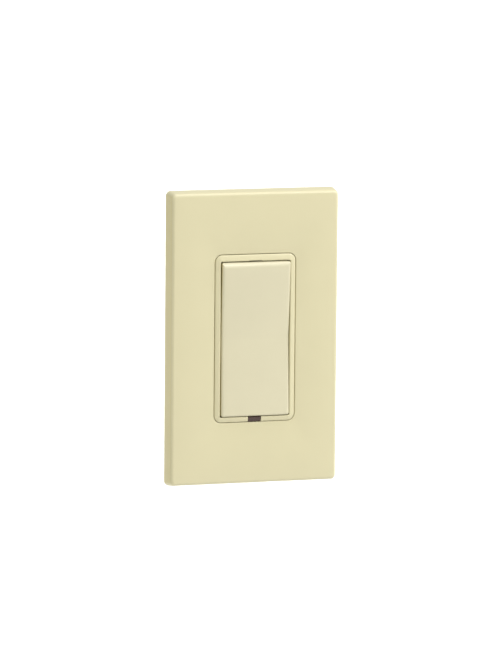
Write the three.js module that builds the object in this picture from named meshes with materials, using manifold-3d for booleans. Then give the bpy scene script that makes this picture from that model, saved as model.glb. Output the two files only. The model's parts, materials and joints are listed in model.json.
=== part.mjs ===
// A wall switch with a centre-return rocker, as an assembly of separate parts.
//
// Everything is drawn in the face frame: x to the right, y up, z out of the wall towards
// the user, in millimetres. z = 0 is the wall's surface and x = y = 0 is the plate's centre.
// The device group at the end turns that frame upright, so that the exported object has
// +Z up, its front facing -Y and its rear housing on the +Y side of the wall's surface.

import * as THREE from 'three';
import { mergeVertices } from 'three/addons/utils/BufferGeometryUtils.js';
import Module from 'manifold-3d';

const wasm = await Module();
wasm.setup();

// ---------------------------------------------------------------- driving dimensions

const GAP = 0.3; // between parts that touch
const SEGMENTS = 20; // around a full circle
const ARC_SEGMENTS = 4; // in a rounded corner

// Cover plate. Its sides draw in by the taper from the wall to the front.
const PLATE_WIDTH = 69.85;
const PLATE_HEIGHT = 116.3;
const PLATE_DEPTH = 6.7;
const PLATE_TAPER = 0.9;
const PLATE_CORNER = 2.0;
const PLATE_EDGE = 1.4;
const PLATE_WALL = 1.6;
const WINDOW_CHAMFER = 0.4;

// Frame around the rocker. Its rails differ in width, so the opening lies off its centre.
const FRAME_WIDTH = 32.9;
const FRAME_HEIGHT = 65.9;
const FRAME_CORNER = 2.8;
const SIDE_RAIL = 2.15;
const TOP_RAIL = 2.55;
const BOTTOM_RAIL = 1.95;
const FRAME_FRONT = 7.2;
const FRAME_EDGE = 0.5;
const OPENING_WIDTH = FRAME_WIDTH - 2 * SIDE_RAIL;
const OPENING_HEIGHT = FRAME_HEIGHT - TOP_RAIL - BOTTOM_RAIL;
const OPENING_Y = (BOTTOM_RAIL - TOP_RAIL) / 2;
const OPENING_CORNER = 1.2;
const WINDOW_WIDTH = FRAME_WIDTH + 2 * GAP;
const WINDOW_HEIGHT = FRAME_HEIGHT + 2 * GAP;
const LENS_WIDTH = 5.3;
const LENS_FLOOR = 3.0;
const BOTTOM_RAIL_Y = (BOTTOM_RAIL - FRAME_HEIGHT) / 2;
const STEM_RADIUS = 0.4;
const STEM_Y = BOTTOM_RAIL_Y;
const NOTCH_WIDTH = 5.4;
const NOTCH_DEPTH = 0.25;

// Hooked legs that hold the frame on the strap.
const HOOK_X = 15.2;
const HOOK_Y = 22;
const HOOK_SHEET = 1.2;
const HOOK_WIDTH = 4.4;
const HOOK_BARB = 0.9;
const HOOK_TIP = -1.5;

// Rocker: its front rises from the middle to both ends.
const ROCKER_CLEARANCE = 0.35;
const ROCKER_WIDTH = OPENING_WIDTH - 2 * ROCKER_CLEARANCE;
const ROCKER_HEIGHT = OPENING_HEIGHT - 2 * ROCKER_CLEARANCE;
const ROCKER_BACK = 3.2;
const ROCKER_MIDDLE = 6.7;
const ROCKER_TOP = 8.3;
const ROCKER_BOTTOM = 7.6;
const ROCKER_TOP_EDGE = 2.0;
const ROCKER_BOTTOM_EDGE = 1.1;
const ROCKER_SIDE_EDGE = 0.8;
const ROCKER_WALL = 1.5;
const PIVOT_HEIGHT = 4.2;
const PIN_RADIUS = 0.9;
const PIN_REACH = 15.9;
const POST_RADIUS = 1.8;
const RIB_Y = 20;

// Push switches behind the rocker, one above and one below the pivot.
const PLUNGER_ARM = 12.0;
const PLUNGER_RADIUS = 1.5;
const PLUNGER_FRONT = 2.2;
const PLUNGER_LENGTH = 3.5;
const SWITCH_SIDE = 6.2;

// Mounting strap, and the two standard hole spacings of a single-gang device. Low pads on
// the strap's ears bear on the wall, and the rest of it stands a little clear.
const STRAP_BACK = 0.2;
const STRAP_FRONT = 1.5;
const STRAP_HEIGHT = 106;
const STRAP_WIDTH = 42;
const EAR_WIDTH = 25.4;
const EAR_WING = 36;
const EAR_Y = 48.8;
const PAD_X = 8.2;
const BEHIND_STRAP = STRAP_BACK - 0.3;
const BOX_SCREW_SPACING = 83.3;
const PLATE_SCREW_SPACING = 96.8;
const SCREW_RADIUS = 1.6;
const GROUND_X = 8.5;
const GROUND_Y = -38.5;

// Sub-plate between the strap and the cover plate.
const SUB_BACK = STRAP_FRONT + GAP;
const SUB_FRONT = 3.4;
const SUB_CLEARANCE = 0.8;
const SUB_SKIRT = 1.5;
const GRIP_LENGTH = 8.0;
const GRIP_DEPTH = 1.0;
const GRIP_X = 20;
const GRIP_Y = 38;

// Rear housing.
const HOUSING_WIDTH = 44;
const HOUSING_HEIGHT = 68.4;
const HOUSING_BACK = -28;
const HOUSING_WALL = 1.6;
const HOUSING_CORNER = 2.2;
const BOSS_X = 18.2;
const BOSS_Y = 31.0;
const BOSS_RADIUS = 3.3;

// Circuit boards.
const BOARD_THICKNESS = 1.6;
const LOGIC_FRONT = -3.0;
const POWER_FRONT = -22.0;
const POWER_TOP = POWER_FRONT + GAP; // where the parts on the power board stand
const LOGIC_WIDTH = 40.2;
const POWER_WIDTH = 31.6;
const BOARD_HEIGHT = 64.6;
const LED_HEIGHT = 1.1;

// Wire terminals on the housing's sides.
const TERMINAL_Y = 17;
const TERMINAL_SCREW_Z = -16;
const TERMINAL_INNER = 16.1;
const TERMINAL_SHEET = 1.2;
const WIRE_HOLE_RADIUS = 1.5;
const WIRE_HOLE_OFFSET = 3.0;
const WIRE_HOLE_X = 18.9;

// Relay, on the power board.
const RELAY_WIDTH = 12.7;
const RELAY_LENGTH = 29;
const RELAY_HEIGHT = 15.5;
const RELAY_X = -4.6;
const RELAY_Y = 8;

// ---------------------------------------------------------------- materials

function finish(color, roughness, metalness = 0) {
  return new THREE.MeshStandardMaterial({ color, roughness, metalness });
}

const IVORY = finish(0xe3dcb4, 0.35);
const SMOKED = finish(0x5f4f3d, 0.15);
const ZINC_STEEL = finish(0xb9bdc0, 0.38, 0.9);
const IRON = finish(0x7d7f80, 0.5, 0.9);
const BRASS = finish(0xc9a04e, 0.3, 0.95);
const COPPER = finish(0xb4683a, 0.4, 0.8);
const GREEN_SCREW = finish(0x2f7a3c, 0.4, 0.5);
const HOUSING_GREY = finish(0x3a3b3d, 0.55);
const SUB_PLATE_IVORY = finish(0xd9d1ab, 0.55);
const BOARD_GREEN = finish(0x2c6b43, 0.5);
const BLACK = finish(0x1d1d1f, 0.5);
const WHITE = finish(0xe8e8e4, 0.5);
const FIBRE = finish(0x8c5a33, 0.8);
const RELAY_BLUE = finish(0x2f5d8c, 0.4);
const VARISTOR_BLUE = finish(0x2b57a0, 0.6);
const CAPACITOR_YELLOW = finish(0xd9a822, 0.45);
const FERRITE = finish(0x333130, 0.7);

// ---------------------------------------------------------------- solids

// Turns a closed three.js geometry into a solid whose faces point outwards.
function solid(geometry) {
  const bare = geometry.clone();
  bare.deleteAttribute('normal');
  bare.deleteAttribute('uv');
  const merged = mergeVertices(bare, 1e-4);
  const points = merged.attributes.position.array;
  const corners = merged.index.array;
  const triangles = [];
  const [a, b, c] = [new THREE.Vector3(), new THREE.Vector3(), new THREE.Vector3()];
  let volume = 0;
  for (let i = 0; i < corners.length; i += 3) {
    const [p, q, r] = corners.slice(i, i + 3);
    if (p === q || q === r || r === p) continue;
    triangles.push([p, q, r]);
    a.fromArray(points, 3 * p);
    b.fromArray(points, 3 * q);
    c.fromArray(points, 3 * r);
    volume += a.dot(b.cross(c));
  }
  if (volume < 0) {
    triangles.forEach((triangle) => triangle.reverse());
  }
  const mesh = new wasm.Mesh({
    numProp: 3,
    vertProperties: new Float32Array(points),
    triVerts: new Uint32Array(triangles.flat()),
  });
  mesh.merge();
  return new wasm.Manifold(mesh);
}

function join(...solids) {
  return solids.reduce((whole, next) => whole.add(next));
}

function cut(body, ...tools) {
  return tools.reduce((rest, tool) => rest.subtract(tool), body);
}

function part(name, body, material) {
  const { vertProperties, triVerts } = body.getMesh();
  const geometry = new THREE.BufferGeometry();
  geometry.setAttribute('position', new THREE.BufferAttribute(new Float32Array(vertProperties), 3));
  geometry.setIndex(new THREE.BufferAttribute(new Uint32Array(triVerts), 1));
  geometry.computeVertexNormals();
  const mesh = new THREE.Mesh(geometry, material);
  mesh.name = name;
  return mesh;
}

function roundedOutline(width, height, radius) {
  const [w, h] = [width / 2 - radius, height / 2 - radius];
  const outline = new THREE.Shape();
  outline.absarc(w, h, radius, 0, Math.PI / 2);
  outline.absarc(-w, h, radius, Math.PI / 2, Math.PI);
  outline.absarc(-w, -h, radius, Math.PI, 1.5 * Math.PI);
  outline.absarc(w, -h, radius, 1.5 * Math.PI, 2 * Math.PI);
  outline.closePath();
  return outline;
}

// An outline in the xy plane, as a slab from z = back to z = front.
function slabGeometry(outline, back, front) {
  const options = { depth: front - back, bevelEnabled: false, curveSegments: ARC_SEGMENTS };
  return new THREE.ExtrudeGeometry(outline, options).translate(0, 0, back);
}

function slab(outline, back, front, x = 0, y = 0) {
  return solid(slabGeometry(outline, back, front).translate(x, y, 0));
}

// The same, with its front and back edges rounded within the outline.
function roundedGeometry(outline, back, front, radius) {
  const options = {
    depth: front - back - 2 * radius,
    bevelThickness: radius,
    bevelSize: radius,
    bevelOffset: -radius,
    bevelSegments: 3,
    curveSegments: ARC_SEGMENTS,
  };
  return new THREE.ExtrudeGeometry(outline, options).translate(0, 0, back + radius);
}

function roundedSlab(outline, back, front, radius) {
  return solid(roundedGeometry(outline, back, front, radius));
}

function block(width, height, back, front, x = 0, y = 0) {
  const box = new THREE.BoxGeometry(width, height, front - back);
  return solid(box.translate(x, y, (back + front) / 2));
}

// A round bar along z.
function rod(radius, back, front, x = 0, y = 0, segments = SEGMENTS) {
  const cylinder = new THREE.CylinderGeometry(radius, radius, front - back, segments);
  return solid(cylinder.rotateX(Math.PI / 2).translate(x, y, (back + front) / 2));
}

// A round bar along x, from x = left to x = right.
function crossRod(radius, left, right, y, z) {
  const cylinder = new THREE.CylinderGeometry(radius, radius, right - left, SEGMENTS);
  return solid(cylinder.rotateZ(Math.PI / 2).translate((left + right) / 2, y, z));
}

// A round bar along y, from y = low to y = high.
function uprightRod(radius, low, high, x, z) {
  const cylinder = new THREE.CylinderGeometry(radius, radius, high - low, SEGMENTS);
  return solid(cylinder.translate(x, (low + high) / 2, z));
}

// A body of revolution about z. The profile lists [radius, z] from the rear to the front.
function turned(profile, segments = SEGMENTS) {
  const points = profile.map(([radius, z]) => new THREE.Vector2(radius, z));
  return solid(new THREE.LatheGeometry(points, segments).rotateX(Math.PI / 2));
}

// A machine screw along z: its head stands on z = 0 and its shank runs to z = -length.
function screwBody({ headRadius, headHeight, length, shankRadius = SCREW_RADIUS, cross = false }) {
  const tip = 0.5;
  const body = turned([
    [0, -length],
    [shankRadius - tip, -length],
    [shankRadius, tip - length],
    [shankRadius, 0],
    [headRadius, 0],
    [headRadius, 0.55 * headHeight],
    [0.8 * headRadius, headHeight],
    [0, headHeight],
  ]);
  const slotWidth = 0.9;
  const slotLength = cross ? 1.2 * headRadius : 2.2 * headRadius;
  const slot = block(slotLength, slotWidth, 0.45 * headHeight, headHeight + 1);
  const second = block(slotWidth, slotLength, 0.45 * headHeight, headHeight + 1);
  return cross ? cut(body, slot, second) : cut(body, slot);
}

// ---------------------------------------------------------------- front parts

// Calls make(x, y) for the four places (±x, ±y).
function atCorners(x, y, make) {
  return [-1, 1].flatMap((sx) => [-1, 1].map((sy) => make(sx * x, sy * y)));
}

// Grips inside the cover plate's walls, or with room > 0 the notches that take them.
function grips(halfWidth, halfHeight, back, front, room) {
  const length = GRIP_LENGTH + 2 * room;
  const depth = 2 * (GRIP_DEPTH + room);
  return join(
    ...atCorners(GRIP_X, halfHeight, (x, y) => block(length, depth, back, front, x, y)),
    ...atCorners(halfWidth, GRIP_Y, (x, y) => block(depth, length, back, front, x, y)),
  );
}

// Draws the sides of a slab of the plate's size in by the plate's taper.
function tapered(geometry) {
  const places = geometry.attributes.position;
  for (let i = 0; i < places.count; i += 1) {
    const drawn = PLATE_TAPER * places.getZ(i) / PLATE_DEPTH;
    places.setX(i, places.getX(i) * (1 - 2 * drawn / PLATE_WIDTH));
    places.setY(i, places.getY(i) * (1 - 2 * drawn / PLATE_HEIGHT));
  }
  return geometry;
}

function coverPlate() {
  const outline = roundedOutline(PLATE_WIDTH, PLATE_HEIGHT, PLATE_CORNER);
  const innerWidth = PLATE_WIDTH - 2 * PLATE_WALL;
  const innerHeight = PLATE_HEIGHT - 2 * PLATE_WALL;
  const innerFront = PLATE_DEPTH - PLATE_WALL;
  const inner = roundedOutline(innerWidth, innerHeight, 0.8);
  const window = roundedOutline(WINDOW_WIDTH, WINDOW_HEIGHT, FRAME_CORNER + GAP);
  const flare = new THREE.ExtrudeGeometry(window, {
    depth: 1,
    bevelThickness: WINDOW_CHAMFER,
    bevelSize: WINDOW_CHAMFER,
    bevelSegments: 1,
    curveSegments: ARC_SEGMENTS,
  });
  const body = cut(
    solid(tapered(roundedGeometry(outline, -4, PLATE_DEPTH, PLATE_EDGE))),
    block(2 * PLATE_WIDTH, 2 * PLATE_HEIGHT, -5, 0),
  );
  const shell = cut(body, solid(tapered(slabGeometry(inner, -1, innerFront))));
  const ribs = grips(innerWidth / 2, innerHeight / 2, 0.8, innerFront + 0.5, 0).intersect(body);
  return cut(
    join(shell, ribs),
    slab(window, innerFront - 1, PLATE_DEPTH + 1),
    solid(flare.translate(0, 0, PLATE_DEPTH)),
  );
}

function frontFrame() {
  const opening = roundedOutline(OPENING_WIDTH, OPENING_HEIGHT, OPENING_CORNER);
  const back = STRAP_FRONT + GAP;
  const outer = cut(
    roundedSlab(roundedOutline(FRAME_WIDTH, FRAME_HEIGHT, FRAME_CORNER), 0, FRAME_FRONT, FRAME_EDGE),
    block(2 * FRAME_WIDTH, 2 * FRAME_HEIGHT, -1, back),
  );
  const topRailInside = FRAME_HEIGHT / 2 - TOP_RAIL;
  const ring = cut(
    outer,
    slab(opening, 0, FRAME_FRONT + 1, 0, OPENING_Y),
    crossRod(PIN_RADIUS + GAP, -FRAME_WIDTH, FRAME_WIDTH, 0, PIVOT_HEIGHT),
    block(LENS_WIDTH + 2 * GAP, 2 * BOTTOM_RAIL, LENS_FLOOR, FRAME_FRONT + 1, 0, BOTTOM_RAIL_Y),
    rod(STEM_RADIUS + GAP, 0, LENS_FLOOR + 1, 0, STEM_Y),
    block(NOTCH_WIDTH, 2 * NOTCH_DEPTH, LENS_FLOOR, FRAME_FRONT + 1, 0, topRailInside),
  );
  // Four hooked legs reach through the strap and hold the frame on it.
  const legs = atCorners(HOOK_X, HOOK_Y, (x, y) => join(
    block(HOOK_SHEET, HOOK_WIDTH, HOOK_TIP, back + 1, x, y),
    block(2 * HOOK_BARB, HOOK_WIDTH, HOOK_TIP, BEHIND_STRAP, x + Math.sign(x) * HOOK_SHEET / 2, y),
  ));
  return join(ring, ...legs);
}

function statusLens() {
  return join(
    block(LENS_WIDTH, BOTTOM_RAIL - 0.1, LENS_FLOOR + GAP, FRAME_FRONT - 0.2, 0, BOTTOM_RAIL_Y),
    rod(STEM_RADIUS, -1.2, LENS_FLOOR + 1, 0, STEM_Y),
  );
}

// The rocker's side view, drawn with its height along x and its depth along y. Inset
// shrinks it evenly, which gives the hollow behind the rocker's walls.
function rockerSide(inset) {
  const top = OPENING_Y + ROCKER_HEIGHT / 2 - inset;
  const bottom = OPENING_Y - ROCKER_HEIGHT / 2 + inset;
  const topFront = ROCKER_TOP - inset;
  const bottomFront = ROCKER_BOTTOM - inset;
  const side = new THREE.Shape();
  side.moveTo(bottom, ROCKER_BACK - inset);
  side.lineTo(top, ROCKER_BACK - inset);
  side.lineTo(top, topFront - ROCKER_TOP_EDGE);
  side.quadraticCurveTo(top, topFront, top - ROCKER_TOP_EDGE, topFront - 0.1);
  side.lineTo(0, ROCKER_MIDDLE - inset);
  side.lineTo(bottom + ROCKER_BOTTOM_EDGE, bottomFront);
  side.quadraticCurveTo(bottom, bottomFront, bottom, bottomFront - ROCKER_BOTTOM_EDGE);
  side.closePath();
  return side;
}

// The side view made solid across the rocker's width, from x = -width/2 to x = width/2.
function rockerBlock(inset, width, edge) {
  const geometry = new THREE.ExtrudeGeometry(rockerSide(inset), {
    depth: width - 2 * edge,
    bevelEnabled: edge > 0,
    bevelThickness: edge,
    bevelSize: edge,
    bevelOffset: -edge,
    bevelSegments: 3,
    curveSegments: ARC_SEGMENTS,
  });
  geometry.translate(0, 0, edge - width / 2);
  // (height, depth, across) becomes (across, height, depth).
  const turn = new THREE.Matrix4().makeBasis(
    new THREE.Vector3(0, 1, 0),
    new THREE.Vector3(0, 0, 1),
    new THREE.Vector3(1, 0, 0),
  );
  return solid(geometry.applyMatrix4(turn));
}

function rocker() {
  const innerWidth = ROCKER_WIDTH - 2 * ROCKER_WALL;
  const shell = cut(
    rockerBlock(0, ROCKER_WIDTH, ROCKER_SIDE_EDGE),
    rockerBlock(ROCKER_WALL, innerWidth, 0),
  );
  const pieces = [shell];
  for (const side of [-1, 1]) {
    const root = side * (innerWidth / 2 + 0.3);
    const tip = side * PIN_REACH;
    pieces.push(crossRod(PIN_RADIUS, Math.min(root, tip), Math.max(root, tip), 0, PIVOT_HEIGHT));
    const postTip = PLUNGER_FRONT + GAP;
    pieces.push(rod(POST_RADIUS, postTip, ROCKER_MIDDLE, 0, side * PLUNGER_ARM));
    pieces.push(block(innerWidth + 1, 1.0, 4.2, ROCKER_MIDDLE, 0, side * RIB_Y));
  }
  return join(...pieces);
}

// ---------------------------------------------------------------- strap and sub-plate

function subPlate() {
  const width = PLATE_WIDTH - 2 * PLATE_WALL - 2 * SUB_CLEARANCE;
  const height = PLATE_HEIGHT - 2 * PLATE_WALL - 2 * SUB_CLEARANCE;
  const outer = roundedOutline(width, height, 1.5);
  const inner = roundedOutline(width - 2 * SUB_SKIRT, height - 2 * SUB_SKIRT, 0.8);
  const window = roundedOutline(WINDOW_WIDTH + 2 * GAP, WINDOW_HEIGHT + 2 * GAP, FRAME_CORNER + 2 * GAP);
  const holes = [-1, 1].flatMap((side) => [
    rod(2.0, 0, 5, 0, side * PLATE_SCREW_SPACING / 2),
    rod(4.7, 0, 5, 0, side * BOX_SCREW_SPACING / 2),
  ]);
  return cut(
    slab(outer, GAP, SUB_FRONT),
    slab(inner, -1, SUB_BACK),
    slab(window, 0, 5),
    ...holes,
    grips(width / 2 + SUB_CLEARANCE, height / 2 + SUB_CLEARANCE, -1, 5, 0.4),
  );
}

function mountingStrap() {
  const sheet = (outline, y = 0) => slab(outline, STRAP_BACK, STRAP_FRONT, 0, y);
  const hole = (radius, x, y) => rod(radius, -1, 2, x, y, 16);
  const wing = roundedOutline(EAR_WING, 8, 3.5);
  const body = join(
    sheet(roundedOutline(STRAP_WIDTH, 71, 2)),
    sheet(roundedOutline(EAR_WIDTH, STRAP_HEIGHT, 3)),
    sheet(wing, EAR_Y),
    sheet(wing, -EAR_Y),
    ...atCorners(PAD_X, EAR_Y, (x, y) => block(7, 6, 0, STRAP_BACK + 0.5, x, y)),
  );
  const slotWidth = HOOK_SHEET + 2 * GAP + 0.1;
  return cut(
    body,
    ...[-1, 1].flatMap((side) => [
      slab(roundedOutline(6.4, 4.0, 1.99), -1, 2, 0, side * BOX_SCREW_SPACING / 2),
      hole(1.9, 0, side * PLATE_SCREW_SPACING / 2),
      hole(PLUNGER_RADIUS + 0.7, 0, side * PLUNGER_ARM),
    ]),
    // Small holes mark where the ears can be broken off.
    ...atCorners(13.4, EAR_Y, (x, y) => hole(1.1, x, y)),
    ...atCorners(BOSS_X, BOSS_Y, (x, y) => hole(1.6, x, y)),
    ...atCorners(HOOK_X, HOOK_Y, (x, y) => block(slotWidth, HOOK_WIDTH + 0.8, -1, 2, x, y)),
    hole(STEM_RADIUS + 0.6, 0, STEM_Y),
    hole(SCREW_RADIUS + GAP, GROUND_X, GROUND_Y),
  );
}

function groundScrew() {
  return join(
    rod(3.5, BEHIND_STRAP - 2, BEHIND_STRAP, 0, 0, 6),
    rod(SCREW_RADIUS, BEHIND_STRAP - 1, STRAP_FRONT - 0.1),
  );
}

function boxScrewWasher() {
  return cut(rod(4.0, BEHIND_STRAP - 0.5, BEHIND_STRAP), rod(SCREW_RADIUS + 0.4, -2, 1));
}

// ---------------------------------------------------------------- rear housing

const TERMINALS = [
  { name: 'line', side: -1, y: TERMINAL_Y },
  { name: 'load', side: -1, y: -TERMINAL_Y },
  { name: 'neutral', side: 1, y: TERMINAL_Y },
];

function rearHousing() {
  const front = BEHIND_STRAP;
  const floor = HOUSING_BACK + HOUSING_WALL;
  const outline = roundedOutline(HOUSING_WIDTH, HOUSING_HEIGHT, HOUSING_CORNER);
  const inside = roundedOutline(
    HOUSING_WIDTH - 2 * HOUSING_WALL,
    HOUSING_HEIGHT - 2 * HOUSING_WALL,
    HOUSING_CORNER - 1,
  );
  const whole = slab(outline, HOUSING_BACK, front);
  const bosses = join(...atCorners(
    BOSS_X,
    BOSS_Y,
    (x, y) => rod(BOSS_RADIUS, floor - 0.5, front, x, y),
  ));
  const shell = join(cut(whole, slab(inside, floor, 1)), bosses.intersect(whole));
  const holes = atCorners(BOSS_X, BOSS_Y, (x, y) => join(
    rod(1.6, HOUSING_BACK - 1, 1, x, y),
    rod(2.8, HOUSING_BACK - 1, HOUSING_BACK + 1.7, x, y),
  ));
  const wireways = TERMINALS.flatMap(({ side, y }) => [
    block(4, 10, TERMINAL_SCREW_Z - 5, TERMINAL_SCREW_Z + 5, side * HOUSING_WIDTH / 2, y),
    rod(WIRE_HOLE_RADIUS, HOUSING_BACK - 1, floor + 1, side * WIRE_HOLE_X, y - WIRE_HOLE_OFFSET),
    rod(WIRE_HOLE_RADIUS, HOUSING_BACK - 1, floor + 1, side * WIRE_HOLE_X, y + WIRE_HOLE_OFFSET),
  ]);
  const stripGauge = block(12, 3, HOUSING_BACK - 1, HOUSING_BACK + 0.5, 0, -24);
  return cut(shell, ...holes, ...wireways, stripGauge);
}

// ---------------------------------------------------------------- boards and what is on them

function board(width, front) {
  const corners = atCorners(BOSS_X, BOSS_Y, (x, y) => rod(BOSS_RADIUS + GAP, front - 3, front + 1, x, y));
  return cut(block(width, BOARD_HEIGHT, front - BOARD_THICKNESS, front), ...corners);
}

function switchBody() {
  const back = LOGIC_FRONT + GAP;
  return cut(block(SWITCH_SIDE, SWITCH_SIDE, back, -0.4), rod(PLUNGER_RADIUS + 0.4, back + 0.4, 1));
}

function boardConnector() {
  const top = LOGIC_FRONT - BOARD_THICKNESS - GAP;
  const pieces = [
    block(15.2, 2.5, POWER_TOP, POWER_TOP + 2.5),
    block(15.2, 2.5, top - 2.5, top),
  ];
  for (let pin = 0; pin < 6; pin += 1) {
    pieces.push(block(0.7, 0.7, POWER_TOP + 1, top - 1, 2.54 * (pin - 2.5)));
  }
  return join(...pieces);
}

function electrolyticCapacitor() {
  return turned([
    [0, 0],
    [3.9, 0],
    [4.0, 0.4],
    [4.0, 1.6],
    [3.6, 2.1],
    [4.0, 2.6],
    [4.0, 12.6],
    [3.6, 13.0],
    [0, 13.0],
  ]);
}

function transformerWinding() {
  return join(
    cut(block(6.3, 8.4, 0, 10.4), block(3.1, 10, 3.1, 7.7)),
    block(8.6, 8.4, 0, 0.9),
  );
}

function transformerCore() {
  return cut(
    block(9.6, 14, 3.4, 7.4),
    block(2.2, 9.0, 3, 8, -2.35),
    block(2.2, 9.0, 3, 8, 2.35),
  );
}

// ---------------------------------------------------------------- relay
// Drawn on its own base: x across, y along, z up from the board.

const CORE_Z = 7.2; // the coil's axis above the board
const YOKE_END = -12.6;
const YOKE_TOP = 13.6;
const YOKE_SHEET = 1.2;
const YOKE_HALF = 4.4;
const POLE_FACE = 5.0;
const ARMATURE_Y = 5.9;
const CONTACT_Z = 3.2;

function relayCase() {
  const inner = roundedOutline(RELAY_WIDTH - 1.6, RELAY_LENGTH - 1.6, 0.4);
  return cut(
    slab(roundedOutline(RELAY_WIDTH, RELAY_LENGTH, 0.8), 1.8, RELAY_HEIGHT),
    slab(inner, 1, RELAY_HEIGHT - 0.8),
  );
}

function relayYoke() {
  const arm = POLE_FACE + 0.4 - YOKE_END;
  return join(
    block(2 * YOKE_HALF, YOKE_SHEET, 2.4, YOKE_TOP, 0, YOKE_END + YOKE_SHEET / 2),
    block(2 * YOKE_HALF, arm, YOKE_TOP - YOKE_SHEET, YOKE_TOP, 0, YOKE_END + arm / 2),
    uprightRod(1.9, YOKE_END + 0.5, POLE_FACE - 0.5, 0, CORE_Z),
    uprightRod(2.6, POLE_FACE - 0.8, POLE_FACE, 0, CORE_Z),
  );
}

function relayCoil() {
  const [low, high] = [YOKE_END + YOKE_SHEET + GAP, POLE_FACE - 0.8 - GAP];
  return cut(
    join(
      uprightRod(4.2, low, high, 0, CORE_Z),
      uprightRod(4.9, low, low + 0.8, 0, CORE_Z),
      uprightRod(4.9, high - 0.8, high, 0, CORE_Z),
    ),
    uprightRod(2.3, low - 1, high + 1, 0, CORE_Z),
  );
}

function relayArmature() {
  const sheet = 1.2;
  return block(2 * YOKE_HALF, sheet, 5.2, YOKE_TOP, 0, ARMATURE_Y + sheet / 2);
}

function relayContactBlade() {
  const y = ARMATURE_Y + 1.2 + GAP;
  return join(
    block(4.0, 0.4, CONTACT_Z - 1.2, 12.4, 0, y + 0.2),
    uprightRod(1.0, y - 0.9, y + 0.1, 0, CONTACT_Z),
  );
}

function relayFixedContact() {
  const y = POLE_FACE;
  return join(
    block(3.2, 0.6, 1.8, 4.0, 0, y - 0.3),
    uprightRod(0.8, y - 0.3, y + 0.5, 0, CONTACT_Z - 0.2),
  );
}

function relay() {
  const group = new THREE.Group();
  group.add(
    part('relay_base', block(RELAY_WIDTH, RELAY_LENGTH, 0, 1.5), BLACK),
    part('relay_case', relayCase(), RELAY_BLUE),
    part('relay_yoke', relayYoke(), IRON),
    part('relay_coil', relayCoil(), COPPER),
    part('relay_armature', relayArmature(), IRON),
    part('relay_contact_blade', relayContactBlade(), BRASS),
    part('relay_fixed_contact', relayFixedContact(), BRASS),
  );
  group.position.set(RELAY_X, RELAY_Y, POWER_TOP);
  return group;
}

// ---------------------------------------------------------------- terminals
// Each is drawn for the housing's right side, at y = 0, and turned over for the left.

function terminalPlate() {
  const middle = TERMINAL_INNER + TERMINAL_SHEET / 2;
  const plate = join(
    block(TERMINAL_SHEET, 9, POWER_TOP, TERMINAL_SCREW_Z + 5, middle),
    block(TERMINAL_INNER - 12 + 0.5, 4, POWER_TOP, POWER_TOP + 1.2, (TERMINAL_INNER + 12.5) / 2),
  );
  return cut(plate, crossRod(SCREW_RADIUS + GAP, 10, 20, 0, TERMINAL_SCREW_Z));
}

function pressurePlate() {
  const inner = TERMINAL_INNER + TERMINAL_SHEET + GAP;
  const grooves = [-1, 1].map((side) => block(
    0.6,
    1.6,
    -30,
    0,
    inner,
    side * WIRE_HOLE_OFFSET,
  ));
  return cut(
    block(TERMINAL_SHEET, 8.4, TERMINAL_SCREW_Z - 4, TERMINAL_SCREW_Z + 4, inner + TERMINAL_SHEET / 2),
    crossRod(SCREW_RADIUS + GAP, 10, 20, 0, TERMINAL_SCREW_Z),
    ...grooves,
  );
}

function terminal({ name, side, y }) {
  const screwSeat = TERMINAL_INNER + 2 * TERMINAL_SHEET + 2 * GAP;
  const screw = part(
    `${name}_terminal_screw`,
    screwBody({ headRadius: 3.3, headHeight: 2.0, length: 6.5, cross: true }),
    name === 'neutral' ? ZINC_STEEL : BRASS,
  );
  screw.position.set(screwSeat, 0, TERMINAL_SCREW_Z);
  screw.rotation.y = Math.PI / 2;
  const group = new THREE.Group();
  group.add(
    part(`${name}_terminal_plate`, terminalPlate(), BRASS),
    part(`${name}_pressure_plate`, pressurePlate(), ZINC_STEEL),
    screw,
  );
  group.position.y = y;
  group.rotation.z = side > 0 ? 0 : Math.PI;
  return group;
}

// ---------------------------------------------------------------- assembly

const device = new THREE.Group();

function add(name, body, material, x = 0, y = 0, z = 0) {
  const mesh = part(name, body, material);
  mesh.position.set(x, y, z);
  device.add(mesh);
}

add('cover_plate', coverPlate(), IVORY);
add('front_frame', frontFrame(), IVORY);
add('rocker', rocker(), IVORY);
add('status_lens', statusLens(), SMOKED);
add('sub_plate', subPlate(), SUB_PLATE_IVORY);
add('mounting_strap', mountingStrap(), ZINC_STEEL);
add('ground_screw', groundScrew(), GREEN_SCREW, GROUND_X, GROUND_Y);
add('rear_housing', rearHousing(), HOUSING_GREY);
add('logic_board', board(LOGIC_WIDTH, LOGIC_FRONT), BOARD_GREEN);
add('power_board', board(POWER_WIDTH, POWER_FRONT), BOARD_GREEN);

for (const [end, side] of [['top', 1], ['bottom', -1]]) {
  const plateScrew = screwBody({ headRadius: 3.2, headHeight: 1.1, length: 8.5 });
  add(`sub_plate_screw_${end}`, plateScrew, ZINC_STEEL, 0, side * PLATE_SCREW_SPACING / 2, SUB_FRONT + GAP);
  const boxScrew = screwBody({ headRadius: 3.6, headHeight: 1.8, length: 20 });
  add(`box_screw_${end}`, boxScrew, ZINC_STEEL, 0, side * BOX_SCREW_SPACING / 2, SUB_BACK);
  add(`box_screw_washer_${end}`, boxScrewWasher(), FIBRE, 0, side * BOX_SCREW_SPACING / 2);
  add(`switch_body_${end}`, switchBody(), BLACK, 0, side * PLUNGER_ARM);
  const plunger = rod(PLUNGER_RADIUS, PLUNGER_FRONT - PLUNGER_LENGTH, PLUNGER_FRONT);
  add(`switch_plunger_${end}`, plunger, WHITE, 0, side * PLUNGER_ARM);
}

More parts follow.
